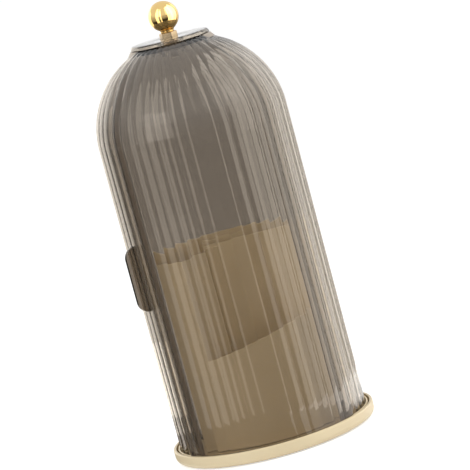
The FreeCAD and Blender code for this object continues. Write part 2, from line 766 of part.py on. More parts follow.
door_levels = [door_foot.number] + dome_levels(shell_top.number) + [ring_top.number]
door_wall = Part.makeLoft([door_section(level) for level in door_levels], True, True)
ring_cone = Part.makeCone(neck_reach(ring_under.number), neck_reach(ring_top.number), dim.ring_thick.number,
                          FreeCAD.Vector(0, 0, ring_under.number))
ring_bore = Part.makeCylinder((dim.bush_radius + dim.bush_gap).number, dim.ring_thick.number,
                              FreeCAD.Vector(0, 0, ring_under.number))
tongue = ring_sector(tongue_inside.number, door_valley.number, tongue_foot.number, door_foot.number,
                     door_first, -door_first)
door_shell = shell_feature("door_shell", door_wall.fuse([ring_cone.cut(ring_bore), tongue]))

# Door glides: shoes under the tongue that slide on the floor of the groove
glide_half = dim.glide_arc.number / 2
glide_places = (door_first + glide_half, 0.0, -door_first - glide_half)
glides = []
for place in glide_places:
    glides.append(ring_sector(tongue_inside.number, door_valley.number, (groove_floor + dim.lift_gap).number,
                              tongue_foot.number, place - glide_half, place + glide_half))
door_glides = shell_feature("door_glides", Part.Compound(glides))

# Door handle: a thin upright finger tab against the left edge of the door. Its sketch lies along +X, and the
# front is three quarters of a turn from there
tab_inside = door_inside
tab_outside = door_crest + dim.tab_reach
tab_under = dim.tab_middle - dim.tab_height / 2
tab_top = dim.tab_middle + dim.tab_height / 2
bend_out = tab_outside - dim.tab_round
door_handle = new_body("door_handle")
tab_outline = new_sketch(door_handle, "tab_outline", "XZ_Plane")
draw_outline(tab_outline, [
    (tab_inside, tab_under),
    (bend_out, tab_under, (dim.tab_round, bend_out, tab_under + dim.tab_round)),
    (tab_outside, tab_under + dim.tab_round),
    (tab_outside, tab_top - dim.tab_round, (dim.tab_round, bend_out, tab_top - dim.tab_round)),
    (bend_out, tab_top),
    (tab_inside, tab_top),
])
tab_plate = door_handle.newObject("PartDesign::Pad", "tab_plate")
tab_plate.Profile = tab_outline
tab_plate.setExpression("Length", dim.tab_thick.formula)
front_turn = as_size(270)
door_edge_turn = front_turn - dim.door_ribs * 180 / dim.rib_count
door_handle.Placement = FreeCAD.Placement(FreeCAD.Vector(), FreeCAD.Rotation(UPRIGHT, door_edge_turn.number))
door_handle.setExpression("Placement.Rotation.Angle", door_edge_turn.formula)
doc.recompute()

# Every piece is tested before any file is written
pieces = [
    base_dish, base_plate, foot_pads, base_screws, pivot_post, pivot_washer, pivot_screw,
    lower_race, bearing_balls, ball_cage,
    upper_race, turntable, cup_screws, storage_cup, divider_insert,
    rear_shell, pivot_bush, top_cap, knob_collar, knob_ball, knob_stud, knob_washer, knob_nut,
    door_shell, door_glides, door_handle,
]
for item in doc.Objects:
    if "Invalid" in item.State or "Error" in item.State:
        raise ValueError(f"{item.Label} failed to build: {item.State}")
for piece in pieces:
    if piece.Shape.isNull() or not piece.Shape.isValid():
        raise ValueError(f"{piece.Label} has no valid shape")
os.makedirs("parts", exist_ok=True)
for piece in pieces:
    piece.Shape.exportStep(f"parts/{piece.Label}.step")
    print(f"{piece.Label}: {len(piece.Shape.Solids)} solids, {piece.Shape.Volume:.1f} mm3")
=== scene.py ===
import math
import bmesh
import bpy
from mathutils import Matrix, Vector


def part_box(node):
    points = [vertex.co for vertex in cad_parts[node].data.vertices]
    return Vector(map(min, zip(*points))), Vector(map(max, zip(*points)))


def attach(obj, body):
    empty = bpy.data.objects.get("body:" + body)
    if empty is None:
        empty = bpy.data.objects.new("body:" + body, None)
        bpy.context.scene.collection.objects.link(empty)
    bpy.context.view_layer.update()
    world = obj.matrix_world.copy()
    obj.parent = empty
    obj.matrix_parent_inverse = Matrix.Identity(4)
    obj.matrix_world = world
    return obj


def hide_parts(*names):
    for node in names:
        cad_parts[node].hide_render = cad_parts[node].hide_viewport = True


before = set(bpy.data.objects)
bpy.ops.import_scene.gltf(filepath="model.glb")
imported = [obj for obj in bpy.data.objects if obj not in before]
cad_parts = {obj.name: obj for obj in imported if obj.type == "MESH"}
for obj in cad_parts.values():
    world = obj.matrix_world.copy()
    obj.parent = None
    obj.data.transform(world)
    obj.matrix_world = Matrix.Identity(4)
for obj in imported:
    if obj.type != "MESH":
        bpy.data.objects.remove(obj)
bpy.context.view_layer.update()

# Studio: a white table top that runs out past the picture, even light from all round and three soft boxes.
# Tall cards that only show in reflections put light bands on the plastic. Dark screens all round but at the
# back, seen in the same way, keep the plastic between them deep. The camera is rolled, so the holder leans.
table_reach = 30.0
table_white = (0.94, 0.94, 0.94, 1)
table_lift = 0.5
room_level = 0.55
lamp_target = (0, 0, 0.12)
card_white = (1.0, 0.91, 0.78)
screen_brown = (0.05, 0.045, 0.04, 1)
screen_away = 0.4
screen_foot = 0.0005
screen_dense_top = 0.15
screen_top = 0.42
screen_steps = 40
camera_distance = 1.905
camera_height = 0.415
camera_azimuth = math.radians(3.5)
camera_pitch = math.radians(8.1)
camera_roll = math.radians(-15.0)
camera_side_step = 0.00855
camera_lens = 214.9
camera_sensor = 36

scene = bpy.context.scene
scene.view_settings.view_transform = "Standard"


def new_paint(name):
    """A new material, with its nodes, its links and its main shader."""
    paint = bpy.data.materials.new(name)
    paint.use_nodes = True
    tree = paint.node_tree
    return paint, tree.nodes, tree.links, tree.nodes["Principled BSDF"]


def seen_directly(tree):
    """One for a ray that meets the white room from the lens, in a reflection or through glass."""
    path = tree.nodes.new("ShaderNodeLightPath")
    answer = path.outputs["Is Camera Ray"]
    for name in ("Is Glossy Ray", "Is Transmission Ray"):
        either = tree.nodes.new("ShaderNodeMath")
        either.operation = "MAXIMUM"
        tree.links.new(answer, either.inputs[0])
        tree.links.new(path.outputs[name], either.inputs[1])
        answer = either.outputs[0]
    return answer


def mixed(tree, share, first, second, output="Material Output"):
    """Show the first of two shaders where a socket is nought and the second where it is one."""
    mix = tree.nodes.new("ShaderNodeMixShader")
    for number, socket in enumerate((share, first.outputs[0], second.outputs[0])):
        tree.links.new(socket, mix.inputs[number])
    tree.links.new(mix.outputs[0], tree.nodes[output].inputs["Surface"])


table_mesh = bpy.data.meshes.new("table_top")
table_edge = [(-table_reach, -table_reach, 0), (table_reach, -table_reach, 0),
              (table_reach, table_reach, 0), (-table_reach, table_reach, 0)]
table_mesh.from_pydata(table_edge, [], [(0, 1, 2, 3)])
table = bpy.data.objects.new("table_top", table_mesh)
scene.collection.objects.link(table)
table_paint, table_nodes, table_links, table_shader = new_paint("white_table")
table_shader.inputs["Base Color"].default_value = table_white
table_shader.inputs["Roughness"].default_value = 0.9
table_shader.inputs["Specular IOR Level"].default_value = 0.1
table_glow = table_nodes.new("ShaderNodeEmission")
table_glow.inputs["Strength"].default_value = table_lift
table_sum = table_nodes.new("ShaderNodeAddShader")
table_links.new(table_shader.outputs[0], table_sum.inputs[0])
table_links.new(table_glow.outputs[0], table_sum.inputs[1])
mixed(table_paint.node_tree, seen_directly(table_paint.node_tree), table_shader, table_sum)
table_mesh.materials.append(table_paint)

room = bpy.data.worlds.new("white_room")
scene.world = room
room.use_nodes = True
room_nodes = room.node_tree.nodes
room_light = room_nodes["Background"]
room_light.inputs["Color"].default_value = (1, 1, 1, 1)
room_light.inputs["Strength"].default_value = room_level
room_seen = room_nodes.new("ShaderNodeBackground")
room_seen.inputs["Color"].default_value = (1, 1, 1, 1)
room_seen.inputs["Strength"].default_value = 1.0
mixed(room.node_tree, seen_directly(room.node_tree), room_light, room_seen, "World Output")


def soft_box(name, place, target, wide, tall, watts):
    """A rectangular soft box that faces a point of the holder."""
    lamp = bpy.data.lights.new(name, "AREA")
    lamp.shape = "RECTANGLE"
    lamp.size = wide
    lamp.size_y = tall
    lamp.energy = watts
    box = bpy.data.objects.new(name, lamp)
    box.location = place
    box.rotation_euler = (Vector(target) - Vector(place)).to_track_quat("-Z", "Y").to_euler()
    box.visible_glossy = False
    scene.collection.objects.link(box)
    return box


def beside(angle, away, level):
    """A place at an angle from the front of the holder, towards +X, and at a level."""
    turn = math.radians(angle)
    return (away * math.sin(turn), -away * math.cos(turn), level)


def standing_card(name, angle, away, wide, foot, top, glow):
    """An upright bright card that faces the holder and only shows as a reflection on plastic and metal."""
    middle = (foot + top) / 2
    tall = top - foot
    watts = glow * math.pi * wide * tall
    card = soft_box(name, beside(angle, away, middle), (0, 0, middle), wide, tall, watts)
    card.data.color = card_white
    card.visible_camera = False
    card.visible_diffuse = False
    card.visible_glossy = True
    card.visible_transmission = False


def dark_screen(name, near, first, last):
    """A dark floor and wall swept round the holder, thinner to the top, that only show in reflections."""
    section = [(near, screen_foot), (screen_away, screen_foot), (screen_away, screen_dense_top),
               (screen_away, screen_top)]
    corners = []
    for step in range(screen_steps + 1):
        angle = first + (last - first) * step / screen_steps
        corners += [beside(angle, away, level) for away, level in section]
    rows = len(section)
    faces = []
    for step in range(screen_steps):
        for row in range(rows - 1):
            corner = step * rows + row
            faces.append((corner, corner + 1, corner + rows + 1, corner + rows))
    mesh = bpy.data.meshes.new(name)
    mesh.from_pydata(corners, [], faces)
    screen = bpy.data.objects.new(name, mesh)
    scene.collection.objects.link(screen)
    cloth, nodes, links, shader = new_paint(name)
    shader.inputs["Base Color"].default_value = screen_brown
    shader.inputs["Roughness"].default_value = 1
    place = nodes.new("ShaderNodeTexCoord")
    height = nodes.new("ShaderNodeSeparateXYZ")
    fade = nodes.new("ShaderNodeMapRange")
    fade.inputs["From Min"].default_value = screen_dense_top
    fade.inputs["From Max"].default_value = screen_top
    gauze = nodes.new("ShaderNodeBsdfTransparent")
    links.new(place.outputs["Object"], height.inputs[0])
    links.new(height.outputs["Z"], fade.inputs["Value"])
    mixed(cloth.node_tree, fade.outputs["Result"], shader, gauze)
    mesh.materials.append(cloth)
    screen.visible_camera = False
    screen.visible_diffuse = False
    screen.visible_transmission = False
    screen.visible_shadow = False


soft_box("right_soft_box", beside(70, 0.9, 0.5), lamp_target, wide=0.5, tall=0.8, watts=4.2)
soft_box("front_soft_box", beside(-40, 1.4, 0.6), lamp_target, wide=0.8, tall=0.8, watts=9.6)
soft_box("ceiling_box", (0, 0, 1.1), (0, 0, 0), wide=1.2, tall=1.2, watts=1.5)
for name, angle, away, wide, foot, top, glow in (
    ("left_front_card", -17, 0.2, 0.03, 0.005, 0.62, 1.9),
    ("left_card", -45, 0.18, 0.07, 0.005, 0.62, 1.9),
    ("right_front_card", 43, 0.19, 0.05, 0, 0.62, 2.6),
    ("right_card", 62, 0.17, 0.06, 0, 0.62, 3.4),
    ("right_side_card", 80, 0.125, 0.05, 0, 0.5, 3.5),
    ("right_edge_card", 104, 0.12, 0.045, 0, 0.5, 3.0),
    ("right_rear_card", 138, 0.14, 0.06, 0, 0.4, 0.9),
    ("left_rear_card", -132, 0.2, 0.21, 0, 0.4, 1.5),
    ("left_low_card", -118, 0.14, 0.03, 0, 0.07, 2.0),
    ("left_window", -25, 0.45, 0.2, 0.36, 0.78, 1.15),
    ("right_window", 37, 0.45, 0.2, 0.36, 0.78, 0.85),
):
    standing_card(name, angle, away, wide, foot, top, glow)
dark_screen("left_screen", near=0.075, first=-165, last=30)
dark_screen("right_screen", near=0.2, first=30, last=165)

lens = bpy.data.cameras.new("front_camera")
lens.lens = camera_lens
lens.sensor_width = camera_sensor
camera = bpy.data.objects.new("front_camera", lens)
scene.collection.objects.link(camera)
camera_right = Vector((math.cos(camera_azimuth), math.sin(camera_azimuth), 0))
camera_ahead = Vector((-math.sin(camera_azimuth), math.cos(camera_azimuth), 0))
camera_look = camera_ahead * math.cos(camera_pitch) - Vector((0, 0, math.sin(camera_pitch)))
camera_up = camera_right.cross(camera_look)
camera_turn = Matrix((camera_right, camera_up, -camera_look)).transposed()
camera.matrix_world = (camera_turn @ Matrix.Rotation(camera_roll, 3, "Z")).to_4x4()
camera_stand = camera_right * camera_side_step - camera_ahead * camera_distance
camera.location = camera_stand + Vector((0, 0, camera_height))
scene.camera = camera

# Base dish: an injection-moulded ring of cream plastic with a rolled lower edge. A groove for the foot of
# the door and a thin rib run round inside the rim. It is turned here as one closed section.
base_low, base_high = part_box("base_dish")
base_radius = base_high[0]
base_under = base_low[2]
rim_top = base_high[2]
groove_outside = 0.06895
groove_inside = 0.0677
groove_floor = 0.0046
rib_inside = 0.0664
rib_top = 0.0096
seat_inside = 0.0628
seat_floor = 0.006
dish_floor = 0.008
dish_under = 0.005
plate_hole = 0.0623
post_hole = 0.00405
base_round = 0.0042
rim_round = 0.0008
edge_round = 0.0003
cream = (0.705, 0.595, 0.395, 1)
cream_shade = (0.665, 0.55, 0.352, 1)


def rounded(corners, steps=6):
    """Points of a closed outline of (out, up, radius) corners, with each corner as an arc."""
    points = []
    for index, (out, up, radius) in enumerate(corners):
        here = Vector((out, up))
        before = (Vector(corners[index - 1][:2]) - here).normalized()
        after = (Vector(corners[(index + 1) % len(corners)][:2]) - here).normalized()
        if radius == 0:
            points.append(here)
            continue
        half = before.angle(after) / 2
        middle = here + (before + after).normalized() * (radius / math.sin(half))
        start = here + before * (radius / math.tan(half)) - middle
        turn = math.pi - 2 * half
        if before.x * after.y - before.y * after.x > 0:
            turn = -turn
        for step in range(steps + 1):
            angle = turn * step / steps
            points.append(middle + Matrix.Rotation(angle, 2) @ start)
    return points


def finish_mesh(name, bm, sharp_from):
    """Close a mesh, point its faces outwards and shade it smooth between its real edges."""
    bmesh.ops.remove_doubles(bm, verts=bm.verts, dist=1e-7)
    bmesh.ops.recalc_face_normals(bm, faces=bm.faces)
    mesh = bpy.data.meshes.new(name)
    bm.to_mesh(mesh)
    bm.free()
    mesh.shade_smooth()
    mesh.set_sharp_from_angle(angle=math.radians(sharp_from))
    piece = bpy.data.objects.new(name, mesh)
    scene.collection.objects.link(piece)
    return piece


def turned(name, outline, steps=180, sharp_from=35):
    """A piece turned about the upright axis from a closed half section."""
    bm = bmesh.new()
    ring = [bm.verts.new((point.x, 0, point.y)) for point in outline]
    edges = [bm.edges.new((ring[index - 1], ring[index])) for index in range(len(ring))]
    bmesh.ops.spin(bm, geom=ring + edges, cent=(0, 0, 0), axis=(0, 0, 1), angle=math.tau, steps=steps,
                   use_merge=True)
    return finish_mesh(name, bm, sharp_from)


def object_noise(nodes, links, scale, detail, grain=(1, 1, 1)):
    """Noise that is fixed to the piece, as a socket. Its grain makes it finer along one of the axes."""
    place = nodes.new("ShaderNodeTexCoord")
    stretch = nodes.new("ShaderNodeMapping")
    stretch.inputs["Scale"].default_value = grain
    noise = nodes.new("ShaderNodeTexNoise")
    noise.inputs["Scale"].default_value = scale
    noise.inputs["Detail"].default_value = detail
    links.new(place.outputs["Object"], stretch.inputs["Vector"])
    links.new(stretch.outputs["Vector"], noise.inputs["Vector"])
    return noise.outputs["Fac"]


def two_tones(nodes, links, share, colour, shade):
    """A colour that goes over into a second tone as a socket goes from nought to one."""
    # A Mix node has its colours at inputs 6 and 7 and at output 2.
    mix = nodes.new("ShaderNodeMix")
    mix.data_type = "RGBA"
    mix.inputs[6].default_value = colour
    mix.inputs[7].default_value = shade
    links.new(share, mix.inputs[0])
    return mix.outputs[2]


def spread(nodes, links, share, least, most):
    """A value that goes from least to most as a socket goes from nought to one."""
    scale = nodes.new("ShaderNodeMapRange")
    scale.inputs["To Min"].default_value = least
    scale.inputs["To Max"].default_value = most
    links.new(share, scale.inputs["Value"])
    return scale.outputs["Result"]


def raised(nodes, links, height, strength, distance):
    """Normals of a surface that a socket raises a little, by at most a distance."""
    bump = nodes.new("ShaderNodeBump")
    bump.inputs["Strength"].default_value = strength
    bump.inputs["Distance"].default_value = distance
    links.new(height, bump.inputs["Height"])
    return bump.outputs["Normal"]


def cream_plastic(name, colour, shade):
    """Satin cream plastic: a faint cloudiness in the colour and the fine grain of a spark-eroded mould."""
    paint, nodes, links, shader = new_paint(name)
    cloud = object_noise(nodes, links, scale=28, detail=3)
    grain = object_noise(nodes, links, scale=1400, detail=2)
    links.new(two_tones(nodes, links, cloud, colour, shade), shader.inputs["Base Color"])
    links.new(spread(nodes, links, grain, least=0.34, most=0.46), shader.inputs["Roughness"])
    links.new(raised(nodes, links, grain, strength=0.06, distance=0.0002), shader.inputs["Normal"])
    shader.inputs["IOR"].default_value = 1.48
    return paint


cream_paint = cream_plastic("cream_plastic_base", cream, cream_shade)
base_dish = turned("base_ring", rounded([
    (plate_hole, base_under, edge_round),
    (base_radius, base_under, base_round),
    (base_radius, rim_top, rim_round),
    (groove_outside, rim_top, edge_round),
    (groove_outside, groove_floor, edge_round),
    (groove_inside, groove_floor, edge_round),
    (groove_inside, rib_top, edge_round),
    (rib_inside, rib_top, edge_round),
    (rib_inside, seat_floor, edge_round),
    (seat_inside, seat_floor, edge_round),
    (seat_inside, dish_floor, edge_round),
    (post_hole, dish_floor, 0),
    (post_hole, dish_under, 0),
    (plate_hole, dish_under, edge_round),
]), steps=240)
base_dish.data.materials.append(cream_paint)
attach(base_dish, "base")
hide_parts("base_dish")

# Base plate: a round cream moulding that closes the base from below. Its recesses for the feet and for the
# heads of the screws are in the CAD solid, which stays as it is.


def dressed(node, paint):
    """Give the CAD object of a node a material in each of its slots."""
    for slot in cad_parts[node].material_slots:
        slot.link = "OBJECT"
        slot.material = paint


dressed("base_plate", cream_paint)

# Foot pads: four pads of grey rubber, glued in the recesses of the base plate so that the holder stays put
# on a smooth table. One pad is turned and copied round the circle.
foot_low, foot_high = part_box("foot_pads")
foot_radius = 0.005
foot_circle = foot_high[0] - foot_radius
foot_count = 4
foot_round = 0.0005
foot_top_round = 0.0002
rubber = (0.20, 0.195, 0.19, 1)
rubber_shade = (0.15, 0.147, 0.143, 1)


def moulded(name, colour, shade, rough):
    """Plain moulded plastic or rubber with a cloudy second tone and a fine matt grain."""
    paint, nodes, links, shader = new_paint(name)
    shader.inputs["Roughness"].default_value = rough
    cloud = object_noise(nodes, links, scale=160, detail=4)
    links.new(two_tones(nodes, links, cloud, colour, shade), shader.inputs["Base Color"])
    links.new(raised(nodes, links, cloud, strength=0.1, distance=0.0002), shader.inputs["Normal"])
    return paint


def new_tree(name, inputs, output):
    """An empty geometry node tree with named inputs and one output, and the nodes for these."""
    tree = bpy.data.node_groups.new(name, "GeometryNodeTree")
    for title, kind in inputs.items():
        tree.interface.new_socket(title, in_out="INPUT", socket_type="NodeSocket" + kind)
    tree.interface.new_socket(output, in_out="OUTPUT", socket_type="NodeSocketGeometry")
    return tree, tree.nodes.new("NodeGroupInput"), tree.nodes.new("NodeGroupOutput")


def painted(tree, source, shape, result):
    """Send the shape of a node out of a tree as one mesh with the tree's paint."""
    realize = tree.nodes.new("GeometryNodeRealizeInstances")
    paint = tree.nodes.new("GeometryNodeSetMaterial")
    tree.links.new(shape.outputs[0], realize.inputs[0])
    tree.links.new(realize.outputs[0], paint.inputs["Geometry"])
    tree.links.new(source.outputs["Paint"], paint.inputs["Material"])
    tree.links.new(paint.outputs[0], result.inputs[0])


def ring_nodes():
    """Geometry nodes that copy a piece round the upright axis, the first one on +X."""
    inputs = {"Piece": "Geometry", "Count": "Int", "Circle": "Float", "Paint": "Material"}
    tree, source, result = new_tree("ring_of_copies", inputs, "Ring")
    circle = tree.nodes.new("GeometryNodeMeshCircle")
    copies = tree.nodes.new("GeometryNodeInstanceOnPoints")
    tree.links.new(source.outputs["Count"], circle.inputs["Vertices"])
    tree.links.new(source.outputs["Circle"], circle.inputs["Radius"])
    tree.links.new(circle.outputs[0], copies.inputs["Points"])
    tree.links.new(source.outputs["Piece"], copies.inputs["Instance"])
    painted(tree, source, copies, result)
    return tree


def grown(piece, tree, values, sharp_from):
    """Run a node tree on a piece with its named inputs, and keep the result as the piece's plain mesh."""
    modifier = piece.modifiers.new(tree.name, "NODES")
    modifier.node_group = tree
    for item in tree.interface.items_tree:
        if item.in_out == "INPUT" and item.name in values:
            modifier[item.identifier] = values[item.name]
    ready = piece.evaluated_get(bpy.context.evaluated_depsgraph_get())
    mesh = bpy.data.meshes.new_from_object(ready)
    mesh.name = piece.name
    piece.modifiers.clear()
    piece.data = mesh
    mesh.shade_smooth()
    mesh.set_sharp_from_angle(angle=math.radians(sharp_from))


def copied_round(piece, count, circle, paint, sharp_from):
    """Copy a piece round the upright axis, on a circle, and keep the copies as one plain mesh."""
    grown(piece, ring_of_copies, {"Count": count, "Circle": circle, "Paint": paint}, sharp_from)


ring_of_copies = ring_nodes()
rubber_paint = moulded("grey_rubber", rubber, rubber_shade, rough=0.75)
foot_pads = turned("rubber_feet", rounded([
    (0, foot_low[2], 0),
    (foot_radius, foot_low[2], foot_round),
    (foot_radius, foot_high[2], foot_top_round),
    (0, foot_high[2], 0),
], steps=4), steps=48)
copied_round(foot_pads, foot_count, foot_circle, rubber_paint, sharp_from=35)
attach(foot_pads, "base")
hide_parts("foot_pads")

# Base screws: four plated steel screws with a cross recess, driven from below through the base plate into
# bosses of the dish. The heads sit in recesses of the plate.
screw_low, screw_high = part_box("base_screws")
screw_head = 0.0029
screw_head_height = 0.0012
screw_shank = 0.0015
screw_circle = screw_high[0] - screw_head
screw_count = 4
steel = (0.60, 0.59, 0.57, 1)
steel_shade = (0.45, 0.44, 0.43, 1)


def brushed_metal(name, colour, shade, rough, grain):
    """Metal with a second tone and a change of gloss, which the grain draws out into brush lines."""
    paint, nodes, links, shader = new_paint(name)
    shader.inputs["Metallic"].default_value = 1
    lines = object_noise(nodes, links, scale=100, detail=3, grain=grain)
    links.new(two_tones(nodes, links, lines, colour, shade), shader.inputs["Base Color"])
    gloss = spread(nodes, links, lines, least=rough * 0.7, most=rough * 1.3)
    links.new(gloss, shader.inputs["Roughness"])
    return paint


def joined(bm, near, far):
    """Faces between two rings with the same number of vertices."""
    for index in range(len(near)):
        bm.faces.new((near[index - 1], near[index], far[index], far[index - 1]))


def cross_screw(name, head_radius, face, seat, shank_radius, tip):
    """A screw on the upright axis: head face with a cross recess, bevelled head, shank and blunt point."""
    way = 1 if tip > face else -1
    edge = head_radius * 0.14
    long = head_radius * 0.58
    wide = head_radius * 0.13
    deep = abs(seat - face) * 0.7
    taper = 0.85
    blunt = shank_radius * 0.5
    steps = 48
    turns = [math.tau * step / steps for step in range(steps)]
    bm = bmesh.new()
    rings = []
    for radius, level in (
        (head_radius - edge, face),
        (head_radius, face + way * edge),
        (head_radius, seat),
        (shank_radius, seat),
        (shank_radius, tip - way * blunt),
        (blunt, tip),
    ):
        ring = [(radius * math.cos(turn), radius * math.sin(turn), level) for turn in turns]
        rings.append([bm.verts.new(place) for place in ring])
    for near, far in zip(rings, rings[1:]):
        joined(bm, near, far)
    bm.faces.new(rings[-1])
    cross = []
    for quarter in range(4):
        turn = Matrix.Rotation(math.radians(90 * quarter), 2)
        cross += [turn @ Vector(corner) for corner in ((wide, wide), (wide, long), (-wide, long))]
    bottom = face + way * deep
    mouth = [bm.verts.new((point.x, point.y, face)) for point in cross]
    floor = [bm.verts.new((point.x * taper, point.y * taper, bottom)) for point in cross]
    joined(bm, mouth, floor)
    bm.faces.new(floor)
    rim = []
    for loop in (rings[0], mouth):
        rim += [bm.edges.get((loop[index - 1], loop[index])) for index in range(len(loop))]
    bmesh.ops.triangle_fill(bm, use_beauty=True, use_dissolve=False, edges=rim)
    return finish_mesh(name, bm, sharp_from=30)


steel_paint = brushed_metal("steel", steel, steel_shade, rough=0.3, grain=(1, 1, 8))
screw_seat = screw_low[2] + screw_head_height
base_screws = cross_screw("base_cross_screws", screw_head, screw_low[2], screw_seat, screw_shank,
                          screw_high[2])
copied_round(base_screws, screw_count, screw_circle, steel_paint, sharp_from=30)
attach(base_screws, "base")
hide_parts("base_screws")

# Pivot: a turned steel post with a flange under the floor of the dish, which the turntable spins on. A
# washer and a cross-recess screw on its end hold the turntable down.
pivot_low, pivot_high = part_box("pivot_screw")
pivot_head_height = 0.0022
pivot_shank = 0.002
dressed("pivot_post", steel_paint)
dressed("pivot_washer", steel_paint)
pivot_seat = pivot_high[2] - pivot_head_height
pivot_screw = cross_screw("pivot_cross_screw", pivot_high[0], pivot_high[2], pivot_seat, pivot_shank,
                          pivot_low[2])
pivot_screw.data.materials.append(steel_paint)
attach(pivot_screw, "base")
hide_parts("pivot_screw")

# Ball bearing: two pressed steel races with a channel each, and steel balls kept apart by the pockets of a
# brown nylon cage. One ball is turned and copied round the circle.
balls_low, balls_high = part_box("bearing_balls")
bearing_ball = (balls_high[2] - balls_low[2]) / 2
bearing_circle = balls_high[0] - bearing_ball
bearing_count = 24
nylon = (0.16, 0.125, 0.10, 1)
nylon_shade = (0.12, 0.092, 0.072, 1)


def arc(out, up, radius, first, last, steps):
    """Points of an arc in the half section, as (out, up, angle), from one angle over level to another."""
    turns = [first + (last - first) * step / steps for step in range(steps + 1)]
    return [(out + radius * math.cos(turn), up + radius * math.sin(turn), turn) for turn in turns]


nylon_paint = moulded("brown_nylon", nylon, nylon_shade, rough=0.5)
dressed("lower_race", steel_paint)
dressed("upper_race", steel_paint)
dressed("ball_cage", nylon_paint)
ball_middle = (balls_low[2] + balls_high[2]) / 2
ball_half = arc(0, ball_middle, bearing_ball, -math.pi / 2, math.pi / 2, steps=14)
ball_section = [Vector((max(out, 0), up)) for out, up, _ in ball_half]
ball_section[0].x = 0
ball_section[-1].x = 0
bearing_balls = turned("steel_balls", ball_section, steps=28, sharp_from=60)
copied_round(bearing_balls, bearing_count, bearing_circle, steel_paint, sharp_from=60)
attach(bearing_balls, "base")
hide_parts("bearing_balls")

# Turntable: a cream plastic disc with a hub that turns on the post. Three short screws from below hold the
# cup on it. The disc's own solid stays.
cup_screw_low, cup_screw_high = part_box("cup_screws")
cup_screw_circle = cup_screw_high[0] - screw_head
cup_screw_count = 3
dressed("turntable", cream_paint)
cup_screw_seat = cup_screw_low[2] + screw_head_height
cup_screws = cross_screw("cup_cross_screws", screw_head, cup_screw_low[2], cup_screw_seat, screw_shank,
                         cup_screw_high[2])
copied_round(cup_screws, cup_screw_count, cup_screw_circle, steel_paint, sharp_from=30)
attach(cup_screws, "turntable")
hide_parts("cup_screws")

# Storage cup: a deep moulded cup of the same cream plastic, screwed to the turntable. Its colour is painted
# lighter than the base's: painted light for the light that the smoked shell keeps from it. A third of its
# wall is cut low along a slant at the front, so that a hand can reach in. A thin skirt runs down round the
# turntable and hides the bearing.
cup_low, cup_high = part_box("storage_cup")
cup_radius = 0.054
cup_wall = 0.0018
cup_floor_thick = 0.0022
cup_hole = 0.0078
skirt_inside = 0.0532
skirt_foot = 0.0086
skirt_round = 0.0002
# Cream with painted light: lighter than the base's cream, for the light lost through the smoked shell.
cup_cream_painted_lighter = (0.79, 0.68, 0.47, 1)
cup_tone_painted_lighter = (0.75, 0.635, 0.425, 1)
low_edge_left = -0.0262
low_height_left = 0.0563
low_height_right = 0.0726
lip_round = 0.0007
cup_steps = 240
step_width = 0.0004


def slanted_rim(across):
    """Height of the low front rim over the foot of the cup, at a distance to the right of the axis."""
    share = (across - low_edge_left) / (cup_radius + cup_wall - low_edge_left)
    return low_height_left + (low_height_right - low_height_left) * share


def cup_rim(angle):
    """Level of the cup's rim at an angle from the front: low at the front right, tall elsewhere."""
    across = cup_radius * math.sin(angle)
    behind = -cup_radius * math.cos(angle)
    if behind < 0 and across > low_edge_left:
        return cup_low[2] + slanted_rim(across)
    return cup_high[2]


def cup_section(rim):
    """Closed half section of the cup with its rim at a level."""
    foot = cup_low[2]
    return rounded([
        (cup_hole, foot, 0),
        (skirt_inside, foot, 0),
        (skirt_inside, skirt_foot, skirt_round),
        (cup_radius, skirt_foot, skirt_round),
        (cup_radius, rim, lip_round),
        (cup_radius - cup_wall, rim, lip_round),
        (cup_radius - cup_wall, foot + cup_floor_thick, lip_round),
        (cup_hole, foot + cup_floor_thick, 0),
    ], steps=4)


def lofted_ring(name, sections, angles, sharp_from=35):
    """A closed ring through half sections with the same number of points, each at its own angle."""
    bm = bmesh.new()
    columns = []
    for section, angle in zip(sections, angles):
        turn = Matrix.Rotation(angle, 4, "Z")
        columns.append([bm.verts.new(turn @ Vector((0, -point.x, point.y))) for point in section])
    for index, column in enumerate(columns):
        before = columns[index - 1]
        for row in range(len(column)):
            bm.faces.new((before[row - 1], column[row - 1], column[row], before[row]))
    return finish_mesh(name, bm, sharp_from)


cup_angles = [math.tau * number / cup_steps for number in range(cup_steps)]
low_from = math.asin(low_edge_left / cup_radius) % math.tau
low_to = math.pi / 2
for corner in (low_from, low_to):
    cup_angles += [(corner - step_width) % math.tau, (corner + step_width) % math.tau]
cup_angles = sorted(set(cup_angles))
cup_sections = [cup_section(cup_rim(angle)) for angle in cup_angles]
storage_cup = lofted_ring("divided_cup_wall", cup_sections, cup_angles)
cup_paint_painted_lighter = cream_plastic("cream_plastic_cup_painted_lighter", cup_cream_painted_lighter, cup_tone_painted_lighter)
storage_cup.data.materials.append(cup_paint_painted_lighter)
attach(storage_cup, "turntable")
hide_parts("storage_cup")

# Divider insert: a centre tube with three upright walls that part the cup into compartments. It is moulded
# in one piece from the same cream plastic as the cup and dropped into it.
tube_low, tube_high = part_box("divider_insert")
tube_radius = 0.0163
tube_wall = 0.0016
vane_wall = 0.0016
vane_end = 0.052
vane_angles = [math.radians(angle) for angle in (90, 210, 330)]
vane_top = cup_high[2]
vane_round = 0.0006
tube_shape = turned("divider_tube", rounded([
    (tube_radius - tube_wall, tube_low[2], 0),
    (tube_radius, tube_low[2], 0),
    (tube_radius, tube_high[2], vane_round),
    (tube_radius - tube_wall, tube_high[2], vane_round),
], steps=4), steps=96)
bm = bmesh.new()
bm.from_mesh(tube_shape.data)
vane_start = tube_radius - tube_wall / 2
vane_outline = rounded([
    (-vane_wall / 2, tube_low[2], 0),
    (vane_wall / 2, tube_low[2], 0),
    (vane_wall / 2, vane_top, vane_round),
    (-vane_wall / 2, vane_top, vane_round),
], steps=4)
